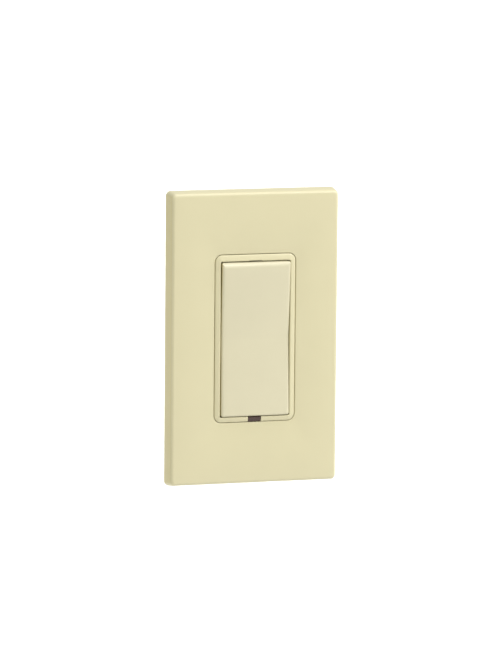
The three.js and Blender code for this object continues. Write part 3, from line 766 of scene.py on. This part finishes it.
# How far each edge of the front is rounded inwards, and how far the side edges drop.
ROCKER_EDGES = {"side": 1.3, "top": 2.3, "bottom": 0.8}
ROCKER_SIDE_DROP = 0.9
ROCKER_CORNER, ROCKER_CORNER_STEPS = 0.9, 6
ROCKER_STATIONS, ROCKER_GATHER = 28, 1.6  # along each side, gathered at the fold
ROCKER_FOLD, ROCKER_WALL = 0.3, 1.5


def rocker_front(y):
    """Height of the rocker's front at y: a tight fold at the pivot, rising both ways."""
    rise = (ROCKER_TOP - ROCKER_MIDDLE) if y > 0 else (ROCKER_BOTTOM - ROCKER_MIDDLE)
    reach = math.hypot(y, ROCKER_FOLD) - ROCKER_FOLD
    return ROCKER_MIDDLE + rise * reach / (ROCKER_H / 2 - ROCKER_FOLD)


def rocker_ring(turn, wall=0.0):
    """One ring of the rocker as (x, y, drop below the front), turn radians round its edge.

    wall is how far inside the outside it lies. The ring goes round the top right and top left
    corners, down the left side, round the bottom corners and up the right side.
    """
    ease, sink = 1 - math.cos(turn), 1 - math.sin(turn)
    left = ROCKER_W / 2 - wall - ROCKER_EDGES["side"] * ease
    top = ROCKER_H / 2 - wall - ROCKER_EDGES["top"] * ease
    bottom = ROCKER_H / 2 - wall - ROCKER_EDGES["bottom"] * ease
    radius = max(ROCKER_CORNER - wall - ROCKER_EDGES["side"] * ease, 0.12)
    corners = []
    for sx, sy, height, edge in (
        (1, 1, top, "top"), (-1, 1, top, "top"),
        (-1, -1, bottom, "bottom"), (1, -1, bottom, "bottom"),
    ):
        corner = []
        for step in range(ROCKER_CORNER_STEPS + 1):
            share = step / ROCKER_CORNER_STEPS
            angle = QUARTER * (share if sx == sy else 1 - share)
            blend = math.sin(angle) ** 2
            corner.append((
                sx * (left - radius + radius * math.cos(angle)),
                sy * (height - radius + radius * math.sin(angle)),
                (ROCKER_SIDE_DROP * (1 - blend) + ROCKER_EDGES[edge] * blend) * sink,
            ))
        corners.append(corner)
    fold_y, stations = -OPENING_Y, []
    for k in range(1, ROCKER_STATIONS):
        share = 2 * k / ROCKER_STATIONS - 1
        end = top - radius if share > 0 else radius - bottom
        stations.append(fold_y + (end - fold_y) * abs(share) ** ROCKER_GATHER)
    left_side = [(-left, y, ROCKER_SIDE_DROP * sink) for y in reversed(stations)]
    right_side = [(left, y, ROCKER_SIDE_DROP * sink) for y in stations]
    ring = corners[0] + corners[1] + left_side + corners[2] + corners[3] + right_side
    return [(x + ROCKER_SHIFT, y + OPENING_Y, drop) for x, y, drop in ring]


def rocker_cap(build, ring, front):
    """Closes a ring of the rocker with strips of faces from side to side."""
    ends = 2 * (ROCKER_CORNER_STEPS + 1)  # points round the two corners of an end
    base = ends + ROCKER_STATIONS - 1  # where the bottom corners start
    left = ring[ends - 1:base + 1]
    right = list(reversed(ring[base + ends - 1:] + ring[:1]))
    build.flat(ring[:ends], front)
    build.flat(ring[base:base + ends], front)
    for (a, b), (c, d) in zip(zip(left, left[1:]), zip(right, right[1:])):
        build.flat((a, b, d, c), front)


def rocker():
    """A hollow paddle with its pins, and behind it two posts and two stiffening ribs."""
    build = Build()
    rings = [
        build.ring([(x, y, ROCKER_BACK) for x, y, _ in rocker_ring(0.35)]),
        build.ring([(x, y, ROCKER_BACK + 0.12) for x, y, _ in rocker_ring(0.0)]),
    ]
    for angle in arc(7):
        points = rocker_ring(angle)
        rings.append(build.ring([(x, y, rocker_front(y) - drop) for x, y, drop in points]))
    for low, high in zip(rings, rings[1:]):
        build.band(low, high)
    hollow = rocker_ring(0.0, ROCKER_WALL)
    mouth = build.ring([(x, y, ROCKER_BACK) for x, y, _ in hollow])
    ceiling = build.ring([(x, y, rocker_front(y) - ROCKER_WALL) for x, y, _ in hollow])
    build.band(ceiling, mouth)
    build.band(mouth, rings[0])
    rocker_cap(build, rings[-1], front=True)
    rocker_cap(build, ceiling, front=False)
    for side in (-1, 1):
        post = [(1.65, 2.5), (1.8, 2.65), (1.8, ROCKER_MIDDLE)]
        build.turn(post, 24, 0, side * PLUNGER_ARM)
        build.block(ROCKER_W - 2.4, 1.0, 4.2, ROCKER_MIDDLE, 0, side * 20, 0.1)
        build.place = at(0, 0, PIVOT_Z, (90, "Y"))
        low, high = sorted((side * (ROCKER_W / 2 - 1.2), side * PIN_REACH))
        build.turn([
            (PIN_RADIUS - 0.1, low), (PIN_RADIUS, low + 0.1),
            (PIN_RADIUS, high - 0.1), (PIN_RADIUS - 0.1, high),
        ], 20)
        build.place = at(0, 0, 0)
    piece("rocker_paddle", build, "rocker")


# ---------------------------------------------------------------- screws and washers

def thread(radius, tip, top, pitch=0.8, depth=0.22):
    """A shank's profile from its tip to z = top, with a thread cut in it."""
    profile = [(radius - 0.55, tip), (radius - 0.15, tip + 0.5)]
    z = tip + 0.7
    while z + pitch < top:
        profile += [(radius - depth, z), (radius, z + 0.32 * pitch), (radius, z + 0.48 * pitch)]
        z += pitch
    return profile + [(radius - depth, z), (radius - depth, top)]


def screw(name, node, place, head, height, length, shank=1.6, drive="slot", dome=0.35):
    """A screw whose head, of radius head, stands on z = 0 of its place, its shank below."""
    build = Build()
    build.place = place
    profile = thread(shank, -length, -0.05)
    profile += [(shank, 0.02), (head - 0.25, 0.0), (head - 0.06, 0.06), (head, 0.25)]
    rim = 0.45
    for angle in arc(5):
        radius = head - rim * (1 - math.cos(angle))
        profile.append((radius, height - dome - rim + rim * math.sin(angle)))
    for share in (0.75, 0.5, 0.25, 0.0):
        profile.append(((head - rim) * share, height - dome * share * share))
    build.turn(profile, 36)
    cuts = Build()
    cuts.place = place
    floor = 0.45 * height
    if drive in ("slot", "both"):
        cuts.block(2.5 * head, 0.9, floor, height + 1, edge=0.08)
    if drive in ("cross", "both"):
        # each arm narrows inwards, and leans a little so that no two faces lie in one plane
        for width, depth in ((1.15 * head, 0.75), (0.75, 1.15 * head)):
            corners = [(sx * width / 2, sy * depth / 2)
                       for sx, sy in ((1, 1), (-1, 1), (-1, -1), (1, -1))]
            cuts.loft([
                ([(x * grow + 0.013 * depth, y * grow + 0.007 * width) for x, y in corners], z)
                for z, grow in ((floor - 0.15, 0.72), (height + 0.6, 1.05))
            ])
    piece(name, build, node, cuts)


def washer(name, node, y):
    build = Build()
    build.place = at(0, y, 0)
    build.loft([
        (circle(2.0), -0.55), (circle(3.95), -0.6), (circle(4.0), -0.52), (circle(4.0), -0.18),
        (circle(3.95), -0.1), (circle(2.0), -0.14),
    ], closed=True)
    piece(name, build, node)


def ground_screw():
    """A hexagon head behind the strap, and the screw's end through its front."""
    place = at(GROUND_X, GROUND_Y, 0)
    build = Build()
    build.place = place
    sixths = [math.tau * k / 6 for k in range(6)]
    hexagon = [(3.5 * math.cos(angle), 3.5 * math.sin(angle)) for angle in sixths]
    small = [(0.92 * x, 0.92 * y) for x, y in hexagon]
    build.loft([(small, -2.1), (hexagon, -1.9), (hexagon, -0.75), (small, -0.6)])
    build.turn([(3.3, -0.7), (3.45, -0.6), (3.45, -0.2), (3.3, -0.1)], 32)
    build.turn([
        (1.6, -0.9), (1.6, -0.1), (1.4, 0.1), (1.6, 0.35), (1.4, 0.7), (1.6, 1.0), (1.3, 1.4),
    ], 28)
    slot = Build()
    slot.place = place
    slot.block(8, 0.9, -3, -1.5, edge=0.05)
    piece("grounding_screw", build, "ground_screw", slot)


def all_screws():
    for end, side in (("top", 1), ("bottom", -1)):
        screw(
            f"plate_screw_{end}", f"sub_plate_screw_{end}",
            at(0, side * PLATE_SCREW_Y, 3.7), 3.2, 1.1, 8.5, dome=0.3,
        )
        screw(
            f"wall_box_screw_{end}", f"box_screw_{end}",
            at(0, side * BOX_SCREW_Y, 1.8, (24, "Z")), 3.6, 1.8, 20, drive="both",
        )
        washer(f"retaining_washer_{end}", f"box_screw_washer_{end}", side * BOX_SCREW_Y)
        for hand, way in (("left", -1), ("right", 1)):
            screw(
                f"assembly_screw_{end}_{hand}", f"housing_screw_{end}_{hand}",
                at(way * BOSS_X, side * BOSS_Y, -26.6, (180, "X")),
                2.5, 1.3, 27.5, 1.3, "cross", 0.3,
            )
    for name, side, y in TERMINALS:
        screw(
            f"{name}_binding_screw", f"{name}_terminal_screw",
            at(side * 19.1, y, TERMINAL_Z, (side * 90, "Y")), 3.3, 2.0, 6.5, drive="both",
        )
    ground_screw()


# ---------------------------------------------------------------- strap and sub-plate

def strap():
    """A stamped plate: its body, its tongue, and an ear with two pads at each end."""
    obj = object_from("yoke", slab(outline(42, 71, 2), STRAP_BACK, STRAP_FRONT))
    tidy(obj)
    ear = outline(EAR_WING, 8, 3.5)
    unite(obj, slab(outline(25.4, 106, 3), STRAP_BACK, STRAP_FRONT))
    for side in (1, -1):
        unite(obj, slab(ear, STRAP_BACK, STRAP_FRONT, 0, side * EAR_Y))
    for sx, sy in CORNERS:
        unite(obj, slab(outline(7, 6, 0.6, 4), 0.0, 0.7, sx * PAD_X, sy * EAR_Y))
    holes = Build()

    def hole(points, x, y):
        holes.prism(points, -1, 3, x, y)

    for side in (-1, 1):
        hole(outline(6.4, 4.0, 1.99), 0, side * BOX_SCREW_Y)
        hole(circle(1.9), 0, side * PLATE_SCREW_Y)
        hole(circle(2.2), 0, side * PLUNGER_ARM)
        for way in (-1, 1):
            hole(circle(1.1, 24), way * 13.4, side * EAR_Y)
            hole(circle(1.6, 24), way * BOSS_X, side * BOSS_Y)
            hole(outline(1.9, 5.2, 0.3, 3), way * HOOK_X, side * HOOK_Y)
    hole(circle(1.1, 24), 0, BOTTOM_RAIL_Y)
    hole(circle(1.9), GROUND_X, GROUND_Y)
    carve(obj, holes)
    eased(obj, 0.12)
    finish_piece(obj, "mounting_strap")


def sub_plate():
    """A plate with a raised rim, notched for the cover's lugs and open for what passes it."""
    wide, tall = INSIDE_W - 1.6, INSIDE_H - 1.6
    obj = object_from("snap_plate", slab(outline(wide, tall, 1.5), GAP, SUB_FRONT))
    tidy(obj)
    carve(obj, slab(outline(wide - 3, tall - 3, 0.8), -1, SUB_FLOOR))
    cuts = Build()
    cuts.prism(outline(WINDOW_W + 2 * GAP, WINDOW_H + 2 * GAP, FRAME_CORNER + 2 * GAP), 0, 5)
    for side in (-1, 1):
        cuts.prism(circle(2.0), 0, 5, 0, side * PLATE_SCREW_Y)
        cuts.prism(circle(4.7, 40), 0, 5, 0, side * BOX_SCREW_Y)
        for way in (-1, 1):
            cuts.prism(outline(8.8, 2.8, 0.3, 3), -1, 5, way * GRIP_X, side * (tall / 2 + 0.8))
            cuts.prism(outline(2.8, 8.8, 0.3, 3), -1, 5, way * (wide / 2 + 0.8), side * GRIP_Y)
            # a shallow pocket in the front of each wide flat
            cuts.prism(outline(4.0, 26, 1.0, 4), SUB_FRONT - 0.4, 5, way * 25.0, side * 17)
    carve(obj, cuts)
    eased(obj, 0.18)
    finish_piece(obj, "sub_plate")


# ---------------------------------------------------------------- rear housing and terminals

def housing():
    """A moulded box with a rounded back, a parting groove, ribs, vents and screw bosses."""
    edge, corner, wire_x = 1.2, 2.2, 18.9
    levels = []

    def wall(inset, radius):
        return outline(HOUSING_W - 2 * inset, HOUSING_H - 2 * inset, radius)

    for angle in arc(5):
        inset = edge * (1 - math.sin(angle))
        levels.append((
            wall(inset, corner - 0.5 * inset), HOUSING_BACK + edge * (1 - math.cos(angle)),
        ))
    for z, inset in (
        (-8.3, 0), (-8.25, 0.25), (-8.0, 0.25), (-7.95, 0), (-0.25, 0), (-0.1, 0.15),
    ):
        levels.append((wall(inset, corner - inset), z))
    build = Build()
    build.loft(levels)
    obj = object_from("back_box", build)
    tidy(obj)
    inside = outline(HOUSING_W - 2 * HOUSING_WALL, HOUSING_H - 2 * HOUSING_WALL, 1.2)
    carve(obj, slab(inside, HOUSING_BACK + HOUSING_WALL, 1))
    bosses = Build()
    for sx, sy in CORNERS:
        bosses.prism(circle(3.3), -27.0, -0.15, sx * BOSS_X, sy * BOSS_Y)
    # low ribs run from back to front on the long sides, clear of the terminals' windows
    for y in (-29, -9.5, 9.5, 29):
        for side in (-1, 1):
            bosses.block(0.7, 1.2, -26.0, -9.5, side * HOUSING_W / 2, y, 0.3)
    unite(obj, bosses)
    cuts = Build()
    for sx, sy in CORNERS:
        cuts.prism(circle(1.6), -30, 1, sx * BOSS_X, sy * BOSS_Y)
        cuts.prism(circle(2.8, 36), -30, -26.3, sx * BOSS_X, sy * BOSS_Y)
    # at each terminal, a window for the screw and two wire holes with a lead-in
    for _, side, y in TERMINALS:
        cuts.block(4, 10, -21, -11, side * HOUSING_W / 2, y, 0.5)
        for offset in (-3, 3):
            x = side * wire_x
            cuts.prism(circle(1.5, 28), -29.4, -25, x, y + offset)
            cuts.turn([(2.3, -28.6), (2.1, -28.0), (1.5, -27.3), (1.4, -26)], 28, x, y + offset)
    # the strip gauge, the grooves across the back and the vents in both ends
    cuts.block(12, 3, -29, -27.5, 0, -24, 0.2)
    for k in range(5):
        cuts.block(14, 1.1, -29, -27.3, 0, 14.8 + 2.6 * k, 0.3)
        for side in (-1, 1):
            cuts.block(1.2, 3.0, -22.5, -12.5, 5.0 * (k - 2), side * HOUSING_H / 2, 0.4)
    carve(obj, cuts)
    finish_piece(obj, "rear_housing")


def terminals():
    """A bent contact plate and a sliding clamp plate at each terminal."""
    hole = [(1.9, -3), (1.9, 3)]
    for name, side, y in TERMINALS:
        build = Build()
        build.place = at(side * 16.7, y, TERMINAL_Z - 0.35, (90, "Y"))
        build.block(10.7, 9, -0.6, 0.6, 0, 0, 0.15)
        build.place = at(side * 14.3, y, -21.1)
        build.block(4.6, 4, -0.6, 0.6, 0, 0, 0.15)
        cuts = Build()
        cuts.place = at(side * 16.7, y, TERMINAL_Z, (90, "Y"))
        cuts.turn(hole, 28)
        piece(f"{name}_contact_plate", build, f"{name}_terminal_plate", cuts)
        build, cuts = Build(), Build()
        build.place = cuts.place = at(side * 18.2, y, TERMINAL_Z, (90, "Y"))
        build.block(8, 8.4, -0.6, 0.6, 0, 0, 0.25, 0.6)
        cuts.turn(hole, 28)
        # the grooves that guide the wires
        for offset in (-3, 3):
            cuts.place = at(side * 17.6, y + offset, TERMINAL_Z)
            cuts.turn([(0.75, -6), (0.75, 6)], 20)
        piece(f"{name}_clamp_plate", build, f"{name}_pressure_plate", cuts)


# ---------------------------------------------------------------- boards and what is on them

PIN_PITCH, PINS, PIN_ROW_Y = 2.54, 6, -23.0
CHIP_X, CHIP_Y = 6.5, 12


def boards():
    """Two boards, cut away round the housing's bosses and drilled for the pins between them."""
    for name, width, back, front in (
        ("logic", LOGIC_W, LOGIC_BACK, LOGIC_FRONT), ("power", POWER_W, POWER_BACK, POWER_FRONT),
    ):
        cuts = Build()
        for sx, sy in CORNERS:
            cuts.prism(circle(3.6), back - 1, front + 1, sx * BOSS_X, sy * BOSS_Y)
        for k in range(PINS):
            x = PIN_PITCH * (k - (PINS - 1) / 2)
            cuts.prism(circle(0.5, 16), back - 1, front + 1, x, PIN_ROW_Y)
        board = slab(outline(width, BOARD_H, 0.5, 3), back, front)
        piece(f"{name}_circuit", board, f"{name}_board", cuts)


def chips():
    """The processor with its leads, and rows of small parts on the back of the logic board."""
    body = Build()
    body.block(7.4, 7.4, -6.1, LOGIC_BACK - 0.35, CHIP_X, CHIP_Y, 0.15)
    dimple = Build()
    dimple.turn([(0.45, -6.5), (0.45, -6.0)], 16, CHIP_X - 2.5, CHIP_Y + 2.5)
    piece("processor_body", body, "microcontroller", dimple)
    leads, low, high = Build(), -5.1, LOGIC_BACK - 0.3
    for k in range(8):
        along = 0.8 * (k - 3.5)
        for out in (-4.05, 4.05):
            leads.block(0.9, 0.35, low, high, CHIP_X + out, CHIP_Y + along, 0.05)
            leads.block(0.35, 0.9, low, high, CHIP_X + along, CHIP_Y + out, 0.05)
    piece("processor_leads", leads, "microcontroller", material="zinc_steel")
    small, low, high = Build(), LOGIC_BACK - 0.75, LOGIC_BACK - 0.02
    for k in range(6):
        small.block(2.0, 1.2, low, high, -14.5, 24.0 - 3.2 * k, 0.12)
        small.block(1.2, 2.0, low, high, 1.5 + 2.6 * k, -6.0, 0.12)
    parts = object_from("small_parts", small)
    tidy(parts)
    parts.data.materials.append(MATERIALS["black_plastic"])
    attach(parts, BODY["logic_board"])


def upright_parts():
    """What stands on the power board."""
    can = Build()
    can.place = at(7.9, 22.4, POWER_TOP)
    can.turn([
        (3.6, 0.0), (3.9, 0.1), (4.0, 0.4), (4.0, 1.5), (3.82, 1.8), (3.75, 2.1), (3.82, 2.4),
        (4.0, 2.7), (4.0, 12.5), (3.9, 12.8), (3.6, 12.95), (3.2, 12.8), (1.0, 12.8),
    ], 40)
    score = Build()
    score.place = can.place
    for width, height in ((5.0, 0.25), (0.25, 5.0)):
        score.block(width, height, 12.62, 14, edge=0.02)
    piece("capacitor_can", can, "electrolytic_capacitor", score)

    box = Build()
    box.block(8.5, 13.0, POWER_TOP, POWER_TOP + 11, 7.5, 10.5, 0.7)
    piece("dipped_capacitor", box, "film_capacitor")

    bobbin = Build()
    bobbin.place = at(7.1, -6.3, POWER_TOP)
    bobbin.block(8.6, 8.4, 0, 0.9, edge=0.2)
    bobbin.block(6.3, 8.4, 9.6, 10.4, edge=0.2)
    bobbin.block(6.3, 8.4, 0.8, 1.5, edge=0.1)
    piece("transformer_bobbin", bobbin, "transformer_winding", material="black_plastic")
    wire = Build()
    wire.place = bobbin.place
    wire.block(6.0, 8.1, 1.3, 9.8, edge=0.1, corner=1.6)
    window = Build()
    window.place = bobbin.place
    window.block(3.1, 10, 3.1, 7.7, edge=0.05)
    piece("transformer_wire", wire, "transformer_winding", window)
    refined("transformer_ferrite", "transformer_core", 0.25)

    disc = Build()
    disc.place = at(-5.5, -12.5, POWER_TOP + 5, (90, "X"))
    disc.turn([
        (3.2, -1.8), (4.0, -1.65), (4.45, -1.2), (4.6, -0.5),
        (4.6, 0.5), (4.45, 1.2), (4.0, 1.65), (3.2, 1.8),
    ], 40)
    piece("varistor_disc", disc, "varistor")

    fuse = Build()
    fuse.place = at(-5, -18.5, POWER_TOP + 2.1, (90, "Y"))
    fuse.turn([
        (1.1, -4.5), (1.55, -4.35), (1.7, -3.9), (1.7, -3.3), (1.5, -2.8),
        (1.5, 2.8), (1.7, 3.3), (1.7, 3.9), (1.55, 4.35), (1.1, 4.5),
    ], 32)
    piece("fuse_body", fuse, "fuse_resistor")
    refined("pin_header", "board_connector", 0.08)


def relay_parts():
    """The relay stands on the power board, its coil along y."""
    refined("relay_socket", "relay_base", 0.25)
    refined("relay_cover", "relay_case", 0.3)
    refined("relay_frame", "relay_yoke", 0.12)
    refined("relay_flap", "relay_armature", 0.12)
    refined("relay_blade", "relay_contact_blade", 0.06)
    refined("relay_anvil", "relay_fixed_contact", 0.06)
    bore, spool_r, low, high, flange = 2.3, 4.9, -11.1, 3.9, 0.8
    place = at(-4.6, 8, POWER_TOP + 7.2, (-90, "X"))
    spool = Build()
    spool.place = place
    for z in (low, high - flange):
        spool.loft([
            (circle(bore), z), (circle(spool_r - 0.1), z), (circle(spool_r), z + 0.1),
            (circle(spool_r), z + flange - 0.1), (circle(spool_r - 0.1), z + flange),
            (circle(bore), z + flange),
        ], closed=True)
    piece("relay_bobbin", spool, "relay_coil", material="black_plastic")
    coil, wound_low, wound_high = Build(), low + flange, high - flange
    coil.place = place
    coil.loft([
        (circle(bore), wound_low), (circle(4.0), wound_low), (circle(4.2), wound_low + 0.5),
        (circle(4.2), wound_high - 0.5), (circle(4.0), wound_high), (circle(bore), wound_high),
    ], closed=True)
    piece("relay_winding", coil, "relay_coil")


def push_switches():
    """The two push switches with their plungers, and the status light."""
    for end, side in (("top", 1), ("bottom", -1)):
        refined(f"push_switch_{end}", f"switch_body_{end}", 0.15)
        tip = Build()
        tip.turn([
            (1.3, -1.3), (1.5, -1.15), (1.5, 1.85), (1.44, 2.05), (1.3, 2.16), (1.05, 2.2),
        ], 32, 0, side * PLUNGER_ARM)
        piece(f"push_stem_{end}", tip, f"switch_plunger_{end}")
    refined("led_package", "status_led", 0.15)


# ---------------------------------------------------------------- assembly

build_camera()
build_lights()
build_world()
build_floor()
cover_plate()
front_frame()
status_lens()
rocker()
all_screws()
strap()
sub_plate()
housing()
terminals()
boards()
chips()
upright_parts()
relay_parts()
push_switches()
for name, node in NODES.items():
    node.data.materials.clear()
    node.data.materials.append(MATERIALS[SLOTS[name]])

view = bpy.context.scene.view_settings
view.view_transform = "Standard"
view.look = "None"
view.exposure = 0.0
view.gamma = 1.0
